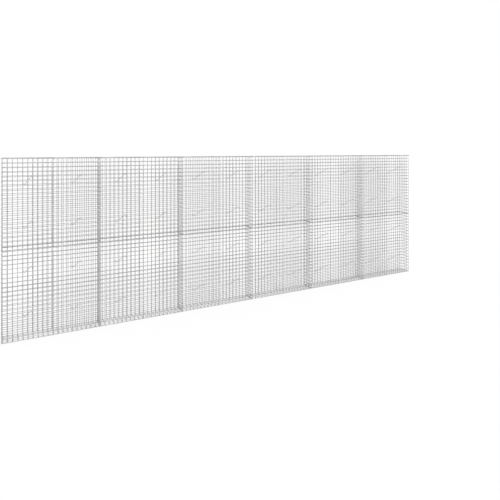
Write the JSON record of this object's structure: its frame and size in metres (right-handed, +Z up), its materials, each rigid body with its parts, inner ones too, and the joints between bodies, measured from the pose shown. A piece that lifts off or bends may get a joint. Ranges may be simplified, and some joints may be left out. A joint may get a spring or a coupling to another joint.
{
  "type": "gabion wall",
  "caption": "Free-standing wall of empty welded wire mesh baskets in bays and two tiers, open on top for stone fill, with partitions, base mesh and slanted hooked spacers.",
  "frame": {"origin": "middle of the footprint, on the ground plane", "axes": "+X along the wall, +Y from the front face to the back face, +Z up"},
  "size_m": [6.0876, 0.2398, 2.0183],
  "materials": {
    "mesh_wire": "dull hot-dip galvanised",
    "spacer_wire": "dull hot-dip galvanised"
  },
  "bodies": {
    "root": {"front_mesh_bay1_lower": "mesh_wire", "front_mesh_bay1_upper": "mesh_wire", "front_mesh_bay2_lower": "mesh_wire", "front_mesh_bay2_upper": "mesh_wire", "front_mesh_bay3_lower": "mesh_wire", "front_mesh_bay3_upper": "mesh_wire", "front_mesh_bay4_lower": "mesh_wire", "front_mesh_bay4_upper": "mesh_wire", "front_mesh_bay5_lower": "mesh_wire", "front_mesh_bay5_upper": "mesh_wire", "front_mesh_bay6_lower": "mesh_wire", "front_mesh_bay6_upper": "mesh_wire", "back_mesh_bay1_lower": "mesh_wire", "back_mesh_bay1_upper": "mesh_wire", "back_mesh_bay2_lower": "mesh_wire", "back_mesh_bay2_upper": "mesh_wire", "back_mesh_bay3_lower": "mesh_wire", "back_mesh_bay3_upper": "mesh_wire", "back_mesh_bay4_lower": "mesh_wire", "back_mesh_bay4_upper": "mesh_wire", "back_mesh_bay5_lower": "mesh_wire", "back_mesh_bay5_upper": "mesh_wire", "back_mesh_bay6_lower": "mesh_wire", "back_mesh_bay6_upper": "mesh_wire", "end_mesh_left": "mesh_wire", "partition_mesh_1": "mesh_wire", "partition_mesh_2": "mesh_wire", "partition_mesh_3": "mesh_wire", "partition_mesh_4": "mesh_wire", "partition_mesh_5": "mesh_wire", "end_mesh_right": "mesh_wire", "base_mesh_bay1": "mesh_wire", "base_mesh_bay2": "mesh_wire", "base_mesh_bay3": "mesh_wire", "base_mesh_bay4": "mesh_wire", "base_mesh_bay5": "mesh_wire", "base_mesh_bay6": "mesh_wire", "spacers_bay1": "spacer_wire", "spacers_bay2": "spacer_wire", "spacers_bay3": "spacer_wire", "spacers_bay4": "spacer_wire", "spacers_bay5": "spacer_wire", "spacers_bay6": "spacer_wire"}
  },
  "joints": []
}
